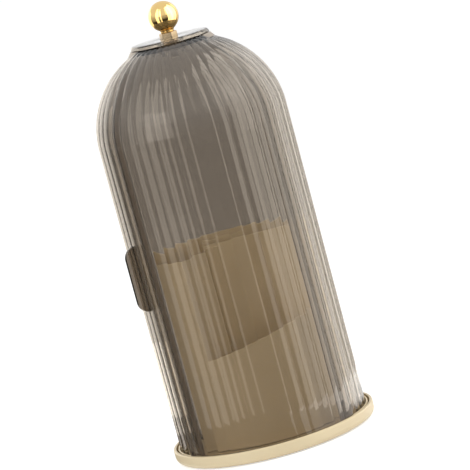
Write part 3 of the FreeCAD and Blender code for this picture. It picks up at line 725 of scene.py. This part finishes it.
for angle in vane_angles:
    turn = Matrix.Rotation(angle, 4, "Z")
    near = [bm.verts.new(turn @ Vector((point.x, -vane_start, point.y))) for point in vane_outline]
    far = [bm.verts.new(turn @ Vector((point.x, -vane_end, point.y))) for point in vane_outline]
    bm.faces.new(near[::-1])
    bm.faces.new(far)
    joined(bm, near, far)
bpy.data.objects.remove(tube_shape)
divider = finish_mesh("tube_and_dividers", bm, sharp_from=35)
# The divider takes the cup's paint, which is painted lighter as painted light.
divider.data.materials.append(cup_paint_painted_lighter)
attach(divider, "turntable")
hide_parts("divider_insert")

# Rear shell: the fixed part of the cover, moulded in smoked plastic with satin edges, whose dark brown is
# painted shade for the dark line along a cut edge. A hoop at its foot drops into the base, the ribbed wall
# is open at the front, and a crown under the knob closes the dome.
rib_pitch = math.radians(8)
rib_shares = (0, 0.035, 0.1, 0.19, 0.29, 0.395, 0.5, 0.605, 0.71, 0.81, 0.9, 0.965)
shell_low, shell_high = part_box("rear_shell")
shell_crest = 0.066
shell_rib = 0.00065
shell_inside = 0.0636
hoop_height = 0.0032
straight_top = 0.224
wall_levels = (0.06, 0.115, 0.17, straight_top)
dome_offset = 0.0045
dome_radius = 0.0615
dome_sweep = math.radians(62.4)
dome_steps = 26
inner_dome = 0.0591
neck_radius = 0.012
neck_steps = 5
neck_inner_step = 0.0004
crown_under = 0.2784
crown_steps = 5
stud_hole = 0.00255
opening_half = math.radians(48)
shell_tint = (0.43, 0.395, 0.355, 1)
shell_smoke = (0.333, 0.273, 0.197, 1)
shell_density = 70
# Satin edge colours, darkened as painted shade for the dark lines along the cut edges of the walls.
edge_brown_painted_shade = (0.26, 0.22, 0.18, 1)
edge_tone_painted_shade = (0.22, 0.185, 0.15, 1)


def curved_wall(name, rows, present):
    """A closed wall round the axis, without the cells for which present says no.

    A row is ((out, up), (out, up), rib): its outer and inner points and the outward step of a rib's crest.
    """
    angles = []
    for number in range(round(math.tau / rib_pitch)):
        angles += [rib_pitch * (number + share) for share in rib_shares]
    columns = len(angles)
    bm = bmesh.new()
    way = bm.verts.layers.float_vector.new("rib_way")
    edge = bm.faces.layers.int.new("wall_edge")
    made = {}

    def corner(side, row, column):
        """The vertex of a row and column, on the outer side (0) or the inner one (1)."""
        key = (side, row, column % columns)
        if key not in made:
            angle = angles[key[2]]
            out, up = rows[row][side]
            made[key] = bm.verts.new((out * math.sin(angle), -out * math.cos(angle), up))
            if side == 0:
                step_out, step_up = rows[row][2]
                made[key][way] = (step_out * math.sin(angle), -step_out * math.cos(angle), step_up)
        return made[key]

    def filled(row, column):
        """Whether the wall has the cell that starts at a row and column."""
        middle = rib_pitch * (column % columns // len(rib_shares) + 0.5)
        return 0 <= row < len(rows) - 1 and present(row, (middle + math.pi) % math.tau - math.pi)

    for row in range(len(rows) - 1):
        for column in range(columns):
            if not filled(row, column):
                continue
            for side in (0, 1):
                bm.faces.new((corner(side, row, column), corner(side, row, column + 1),
                              corner(side, row + 1, column + 1), corner(side, row + 1, column)))
            for neighbour, first, last in (
                ((row - 1, column), (row, column), (row, column + 1)),
                ((row + 1, column), (row + 1, column), (row + 1, column + 1)),
                ((row, column - 1), (row, column), (row + 1, column)),
                ((row, column + 1), (row, column + 1), (row + 1, column + 1)),
            ):
                if not filled(*neighbour):
                    rim_face = bm.faces.new((corner(0, *first), corner(0, *last),
                                             corner(1, *last), corner(1, *first)))
                    rim_face[edge] = 1
    bmesh.ops.recalc_face_normals(bm, faces=bm.faces)
    mesh = bpy.data.meshes.new(name)
    bm.to_mesh(mesh)
    bm.free()
    wall = bpy.data.objects.new(name, mesh)
    scene.collection.objects.link(wall)
    return wall


def rib_nodes():
    """Geometry nodes that swell a smooth wall into upright convex ribs, one in each pitch of angle."""
    inputs = {"Wall": "Geometry", "Pitch": "Float", "Paint": "Material"}
    tree, source, result = new_tree("upright_ribs", inputs, "Ribbed wall")
    position = tree.nodes.new("GeometryNodeInputPosition")
    split = tree.nodes.new("ShaderNodeSeparateXYZ")
    tree.links.new(position.outputs[0], split.inputs[0])

    def sum_of(operation, first, second):
        """Socket with the result of a sum of two sockets or numbers."""
        node = tree.nodes.new("ShaderNodeMath")
        node.operation = operation
        for socket, value in zip(node.inputs, (first, second)):
            if isinstance(value, (int, float)):
                socket.default_value = value
            else:
                tree.links.new(value, socket)
        return node.outputs[0]

    forward = sum_of("MULTIPLY", split.outputs["Y"], -1)
    angle = sum_of("ARCTAN2", split.outputs["X"], forward)
    share = sum_of("FRACT", sum_of("DIVIDE", angle, source.outputs["Pitch"]), 0)
    # A parabola over each pitch: nought at both ends and one in the middle.
    bulge = sum_of("MULTIPLY", sum_of("MULTIPLY", share, sum_of("SUBTRACT", 1, share)), 4)
    way = tree.nodes.new("GeometryNodeInputNamedAttribute")
    way.data_type = "FLOAT_VECTOR"
    way.inputs["Name"].default_value = "rib_way"
    step = tree.nodes.new("ShaderNodeVectorMath")
    step.operation = "SCALE"
    tree.links.new(way.outputs["Attribute"], step.inputs[0])
    tree.links.new(bulge, step.inputs["Scale"])
    move = tree.nodes.new("GeometryNodeSetPosition")
    merge = tree.nodes.new("GeometryNodeMergeByDistance")
    merge.inputs["Distance"].default_value = 1e-7
    tree.links.new(source.outputs["Wall"], move.inputs["Geometry"])
    tree.links.new(step.outputs["Vector"], move.inputs["Offset"])
    tree.links.new(move.outputs[0], merge.inputs[0])
    painted(tree, source, merge, result)
    return tree


def smoked_plastic(name, colour, smoke_colour, density):
    """Glossy smoked plastic that darkens with depth, with the faint waviness of a large moulding."""
    paint, nodes, links, shader = new_paint(name)
    shader.inputs["Transmission Weight"].default_value = 1
    shader.inputs["IOR"].default_value = 1.49
    flow = object_noise(nodes, links, scale=55, detail=2)
    shade = [0.94 * value for value in colour[:3]] + [1]
    links.new(two_tones(nodes, links, flow, colour, shade), shader.inputs["Base Color"])
    links.new(spread(nodes, links, flow, least=0.0, most=0.02), shader.inputs["Roughness"])
    links.new(raised(nodes, links, flow, strength=0.003, distance=0.0005), shader.inputs["Normal"])
    path = nodes.new("ShaderNodeLightPath")
    clear = nodes.new("ShaderNodeBsdfTransparent")
    clear.inputs["Color"].default_value = (0.95, 0.95, 0.95, 1)
    mixed(paint.node_tree, path.outputs["Is Shadow Ray"], shader, clear)
    smoke = nodes.new("ShaderNodeVolumeAbsorption")
    smoke.inputs["Color"].default_value = smoke_colour
    smoke.inputs["Density"].default_value = density
    links.new(smoke.outputs["Volume"], nodes["Material Output"].inputs["Volume"])
    return paint


def satin_edges_painted_shade(piece, paint):
    """Give the narrow faces between the two sides of a wall the finish of an edge: satin, with painted
    shade.
    """
    piece.data.materials.append(paint)
    for face, mark in zip(piece.data.polygons, piece.data.attributes["wall_edge"].data):
        face.material_index = mark.value


shell_paint = smoked_plastic("smoked_plastic_shell", shell_tint, shell_smoke, shell_density)
edge_paint_painted_shade = moulded("satin_smoked_edge_painted_shade", edge_brown_painted_shade, edge_tone_painted_shade, rough=0.4)
ribs = rib_nodes()
shell_foot = shell_low[2]
shell_top = shell_high[2]
no_rib = (0, 0)

# The rows go up the straight wall, over the dome and the hollow neck, and in along the flat crown.
shell_rows = []
for level in (shell_foot, shell_foot + hoop_height, *wall_levels):
    shell_rows.append(((shell_crest - shell_rib, level), (shell_inside, level), (shell_rib, 0)))
inner_sweep = math.asin((crown_under - straight_top) / inner_dome)
shell_dome = arc(dome_offset, straight_top, dome_radius, 0, dome_sweep, dome_steps)
inner_arc = arc(dome_offset, straight_top, inner_dome, 0, inner_sweep, dome_steps)
for (out, up, turn), (inner_out, inner_up, _) in list(zip(shell_dome, inner_arc))[1:]:
    height = shell_rib * out / shell_crest
    way = (height * math.cos(turn), height * math.sin(turn))
    shell_rows.append(((out - way[0], up - way[1]), (inner_out, inner_up), way))
neck_out = dome_offset + (dome_radius + neck_radius) * math.cos(dome_sweep)
neck_up = straight_top + (dome_radius + neck_radius) * math.sin(dome_sweep)
neck_end = math.pi + math.asin((neck_up - shell_top) / neck_radius)
neck = arc(neck_out, neck_up, neck_radius, math.pi + dome_sweep, neck_end, neck_steps)
inner_end = inner_arc[-1][0]
for number, (out, up, _) in enumerate(neck[1:], start=1):
    height = shell_rib * out / shell_crest
    inner = inner_end - neck_inner_step * number
    shell_rows.append(((out - height, up), (inner, crown_under), (height, 0)))
neck_cells = len(shell_rows) - 1
crown_edge = neck[-1][0]
inner_end -= neck_inner_step * neck_steps
for number in range(1, crown_steps + 1):
    share = number / crown_steps
    outer = crown_edge + (stud_hole - crown_edge) * share
    inner = inner_end + (stud_hole - inner_end) * share
    shell_rows.append(((outer, shell_top), (inner, crown_under), no_rib))


def shell_cell(row, angle):
    """Whether the rear shell has a cell: hoop and crown go all round, the wall stops at the opening."""
    return row == 0 or row >= neck_cells or abs(angle) > opening_half


rear_shell = curved_wall("rear_shell_ribbed", shell_rows, shell_cell)
grown(rear_shell, ribs, {"Pitch": rib_pitch, "Paint": shell_paint}, sharp_from=45)
satin_edges_painted_shade(rear_shell, edge_paint_painted_shade)
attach(rear_shell, "cover")
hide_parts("rear_shell")

# Door shell: the curved door, moulded like the rear shell and just outside it. Its top ring turns on a bush
# under the knob, and a thin tongue at its foot runs in the groove of the base.
door_low, door_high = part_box("door_shell")
door_half = math.radians(56)
door_inside = 0.0672
door_wall = 0.0015
door_rib = 0.00055
door_foot = 0.0103
tongue_inside = 0.06795
door_gap = 0.0012
crown_gap = 0.0006
ring_under = 0.2804
ring_edge = 0.02796
ring_foot_edge = 0.03033
ring_bore = 0.00806
door_tint = (0.39, 0.352, 0.308, 1)
door_smoke = (0.394, 0.317, 0.22, 1)
door_density = 30
door_steps = 30
door_valley = door_inside + door_wall
tongue_foot = door_low[2]
ring_top = door_high[2]

# The rows go up the tongue and the straight wall, over the dome, and in along the flat top ring.
door_rows = [
    ((door_valley, tongue_foot), (tongue_inside, tongue_foot), no_rib),
    ((door_valley, door_foot), (tongue_inside, door_foot), no_rib),
]
for level in (door_foot, *wall_levels):
    door_rows.append(((door_valley, level), (door_inside, level), (door_rib, 0)))


def door_dome(turn, extra, top):
    """Point of the door's dome at an angle over level: off the rear shell's dome, and closer at the top."""
    share = (dome_radius + extra) * math.sin(turn) / (top - straight_top)
    radius = dome_radius + door_gap + (crown_gap - door_gap) * share + extra
    return (dome_offset + radius * math.cos(turn), straight_top + radius * math.sin(turn))


outer_sweep = math.asin((ring_top - straight_top) / (dome_radius + crown_gap + door_wall))
under_sweep = math.asin((ring_under - straight_top) / (dome_radius + crown_gap))
for number in range(1, door_steps + 1):
    turn = outer_sweep * number / door_steps
    out, up = door_dome(turn, door_wall, ring_top)
    height = door_rib * out / door_valley
    way = (height * math.cos(turn), height * math.sin(turn))
    under = door_dome(under_sweep * number / door_steps, 0, ring_top)
    door_rows.append(((out, up), under, way))
door_cells = len(door_rows) - 1
for number in range(crown_steps + 1):
    share = number / crown_steps
    outer = ring_edge + (ring_bore - ring_edge) * share
    inner = ring_foot_edge + (ring_bore - ring_foot_edge) * share
    door_rows.append(((outer, ring_top), (inner, ring_under), no_rib))


def door_cell(row, angle):
    """Whether the door has a cell: the top ring goes all round, the wall only as wide as the door."""
    return row > door_cells or abs(angle) < door_half


door_paint = smoked_plastic("smoked_plastic_door", door_tint, door_smoke, door_density)
door_shell = curved_wall("door_shell_ribbed", door_rows, door_cell)
grown(door_shell, ribs, {"Pitch": rib_pitch, "Paint": door_paint}, sharp_from=45)
satin_edges_painted_shade(door_shell, edge_paint_painted_shade)
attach(door_shell, "door")
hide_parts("door_shell")

# Door glides: three short nylon pads on the foot of the door, which carry its weight in the groove of the
# base. Their solids stay.
dressed("door_glides", nylon_paint)

# Door handle: a thin finger tab moulded on the left edge of the door. It stands straight out from the wall,
# with large round corners and soft edges. Its rounded rim is painted darker: painted shade for its outline.
tab_low, tab_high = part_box("door_handle")
tab_inside = 0.0672
tab_outside = 0.0768
tab_thick = 0.002
tab_round = 0.008
tab_edge = 0.0009
tab_flat_from = 0.9
tab_density = 600
# Dark tint on the tab's rounded rim: painted shade for the dark outline along its edges.
tab_outline_painted_shade = (0.12, 0.105, 0.09, 1)
tab_outline = rounded([
    (tab_inside, tab_low[2], tab_edge),
    (tab_outside, tab_low[2], tab_round),
    (tab_outside, tab_high[2], tab_round),
    (tab_inside, tab_high[2], tab_edge),
], steps=12)
bm = bmesh.new()
tab_turn = Matrix.Rotation(-door_half, 4, "Z")
near = [bm.verts.new(tab_turn @ Vector((0, -point.x, point.y))) for point in tab_outline]
far = [bm.verts.new(tab_turn @ Vector((-tab_thick, -point.x, point.y))) for point in tab_outline]
tab_faces = [bm.faces.new(near), bm.faces.new(far[::-1])]
joined(bm, near, far)
tab_edges = [edge for face in tab_faces for edge in face.edges]
bmesh.ops.bevel(bm, geom=tab_edges, offset=tab_edge, segments=4, profile=0.5, affect="EDGES")
# The faces of the rounded rim are marked to take the painted shade.
tab_shaded_outline = bm.faces.layers.float.new("tab_shaded_outline")
tab_flat = tab_turn @ Vector((1, 0, 0))
for face in bm.faces:
    face.normal_update()
    face[tab_shaded_outline] = 0 if abs(face.normal.dot(tab_flat)) > tab_flat_from else 1
door_handle = finish_mesh("door_tab", bm, sharp_from=30)
tab_paint = smoked_plastic("smoked_plastic_tab", door_tint, door_smoke, tab_density)
tab_nodes = tab_paint.node_tree.nodes
tab_links = tab_paint.node_tree.links
tab_colour = tab_nodes["Principled BSDF"].inputs["Base Color"]
# The marked rim faces get the painted shade in place of the plastic's tint.
outline_shade_share = tab_nodes.new("ShaderNodeAttribute")
outline_shade_share.attribute_name = "tab_shaded_outline"
outline_shade_mix = tab_nodes.new("ShaderNodeMix")
outline_shade_mix.data_type = "RGBA"
outline_shade_mix.inputs[7].default_value = tab_outline_painted_shade
tab_links.new(outline_shade_share.outputs["Fac"], outline_shade_mix.inputs[0])
tab_links.new(tab_colour.links[0].from_socket, outline_shade_mix.inputs[6])
tab_links.new(outline_shade_mix.outputs[2], tab_colour)
door_handle.data.materials.append(tab_paint)
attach(door_handle, "door")
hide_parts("door_handle")

# Top cap: a thin clear disc with a bevelled rim, clamped between the bush and the knob. The knob's collar
# stands in its hole and shows through it.
cap_low, cap_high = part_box("top_cap")
cap_radius = cap_high[0]
cap_top_radius = 0.0263
cap_hole = 0.006451
cap_edge = 0.0006
cap_hole_edge = 0.0002
cap_tint = (0.92, 0.89, 0.85, 1)
cap_smoke = (0.80, 0.76, 0.70, 1)
cap_density = 60
cap_paint = smoked_plastic("clear_plastic", cap_tint, cap_smoke, cap_density)
top_cap = turned("bevelled_cap", rounded([
    (cap_hole, cap_low[2], cap_hole_edge),
    (cap_radius, cap_low[2], cap_edge),
    (cap_top_radius, cap_high[2], cap_edge),
    (cap_hole, cap_high[2], cap_hole_edge),
], steps=5), steps=160, sharp_from=30)
top_cap.data.materials.append(cap_paint)
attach(top_cap, "cover")
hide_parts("top_cap")

# Knob collar: a six-sided spacer of champagne-coloured metal under the ball, turned flat at both ends and
# finely brushed. The stud runs through it.
collar_low, collar_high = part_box("knob_collar")
collar_corner = 0.006351
collar_turn = math.radians(54)
collar_edge = 0.0003
champagne = (0.33, 0.265, 0.18, 1)
champagne_shade = (0.27, 0.215, 0.14, 1)


def hexagon_piece(name, corner_radius, turn, foot, top, edge):
    """A six-sided block with softened corners and bevelled ends."""
    corners = []
    for number in range(6):
        angle = turn + math.tau * number / 6
        corners.append((corner_radius * math.cos(angle), corner_radius * math.sin(angle), edge * 2))
    plan = rounded(corners, steps=4)
    inset = 1 - edge / corner_radius
    bm = bmesh.new()
    rings = []
    for level, scale in ((foot, inset), (foot + edge, 1), (top - edge, 1), (top, inset)):
        rings.append([bm.verts.new((point.x * scale, point.y * scale, level)) for point in plan])
    bm.faces.new(rings[0])
    bm.faces.new(rings[-1])
    for below, above in zip(rings, rings[1:]):
        joined(bm, below, above)
    return finish_mesh(name, bm, sharp_from=28)


knob_collar = hexagon_piece("six_sided_collar", collar_corner, collar_turn, collar_low[2], collar_high[2],
                            collar_edge)
collar_paint = brushed_metal("champagne_metal", champagne, champagne_shade, rough=0.28, grain=(1, 1, 12))
knob_collar.data.materials.append(collar_paint)
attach(knob_collar, "cover")
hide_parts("knob_collar")

# Knob ball: a polished gold-plated ball turned in one piece with its short neck, which flares into it. It
# screws on the stud down to the collar.
ball_low, ball_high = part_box("knob_ball")
ball_radius = ball_high[0]
ball_level = ball_high[2] - ball_radius
neck_waist = 0.0046
neck_flare = 0.0006
neck_edge = 0.0003
flare_rise = 0.0006
flare_shares = (0.0, 0.35, 0.65, 0.85)
ball_steps = 48
gold = (0.84, 0.60, 0.25, 1)
gold_shade = (0.77, 0.53, 0.20, 1)
flare_turn = -math.acos((neck_waist + neck_flare) / ball_radius)
ball_outline = [Vector((0, ball_low[2])), Vector((neck_waist - neck_edge, ball_low[2])),
                Vector((neck_waist, ball_low[2] + neck_edge))]
ball_arc = arc(0, ball_level, ball_radius, flare_turn, math.pi / 2, ball_steps)
flare_foot = ball_low[2] + flare_rise
flare_top = ball_arc[0][1]
for share in flare_shares:
    flare_out = neck_waist + neck_flare * share ** 2
    ball_outline.append(Vector((flare_out, flare_foot + (flare_top - flare_foot) * share)))
ball_outline += [Vector(point[:2]) for point in ball_arc[:-1]] + [Vector((0, ball_level + ball_radius))]
knob_ball = turned("ball_knob", ball_outline, steps=96, sharp_from=50)
ball_paint = brushed_metal("gold_plating", gold, gold_shade, rough=0.05, grain=(1, 1, 1))
knob_ball.data.materials.append(ball_paint)
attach(knob_ball, "cover")
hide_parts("knob_ball")

# Knob fastening: a steel stud runs from the ball down through collar, cap, bush and crown. A washer and a
# nut under the crown pull the stack tight. The bush is turned from brown nylon. The stud's solid stays.
nut_low, nut_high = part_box("knob_nut")
nut_corner = 0.00462
nut_edge = 0.0004
washer_edge = 0.0002
bush_edge = 0.0003
bore_edge = 0.0001


def plain_ring(name, node, edge):
    """A flat ring round the stud, as wide and as high as its node, with softened edges."""
    low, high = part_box(node)
    return turned(name, rounded([
        (stud_hole, low[2], bore_edge),
        (high[0], low[2], edge),
        (high[0], high[2], edge),
        (stud_hole, high[2], bore_edge),
    ], steps=3), steps=96)


dressed("knob_stud", steel_paint)
knob_nut = hexagon_piece("clamp_nut", nut_corner, 0, nut_low[2], nut_high[2], nut_edge)
knob_nut.data.materials.append(steel_paint)
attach(knob_nut, "cover")
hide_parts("knob_nut")
knob_washer = plain_ring("clamp_washer", "knob_washer", washer_edge)
knob_washer.data.materials.append(steel_paint)
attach(knob_washer, "cover")
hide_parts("knob_washer")
pivot_bush = plain_ring("turning_bush", "pivot_bush", bush_edge)
pivot_bush.data.materials.append(nylon_paint)
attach(pivot_bush, "cover")
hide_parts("pivot_bush")
